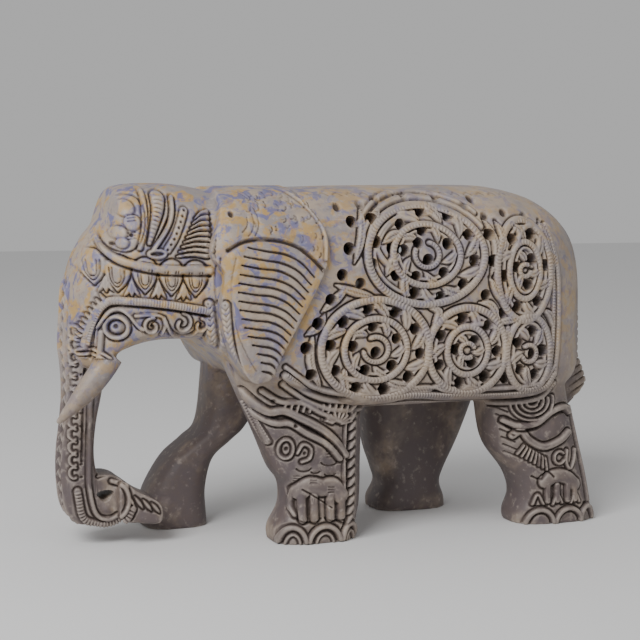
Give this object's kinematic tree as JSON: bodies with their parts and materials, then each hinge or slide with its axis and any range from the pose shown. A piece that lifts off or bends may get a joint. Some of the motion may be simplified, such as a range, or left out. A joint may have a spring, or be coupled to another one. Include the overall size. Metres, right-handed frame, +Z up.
{
  "type": "openwork soapstone elephant statue",
  "caption": "Carved soapstone elephant with a hollow, drilled lattice body, scroll medallions, ribbed ears, short tusks and a trunk curled to the forefoot; stands on its feet.",
  "frame": {"origin": "middle of the bounding box in x and y, on the surface the feet stand on", "axes": "+X from the head to the tail, the longest extent; +Z up; -Y is the side with the fullest carving"},
  "size_m": [0.2566, 0.0924, 0.1523],
  "materials": {
    "soapstone": "hand-carved mottled soapstone, matte with a slight waxy sheen: grey-cream ground with ochre and lavender-blue patches, dark in the cuts, pale on worn edges"
  },
  "bodies": {
    "root": {"elephant": "soapstone"}
  },
  "joints": []
}
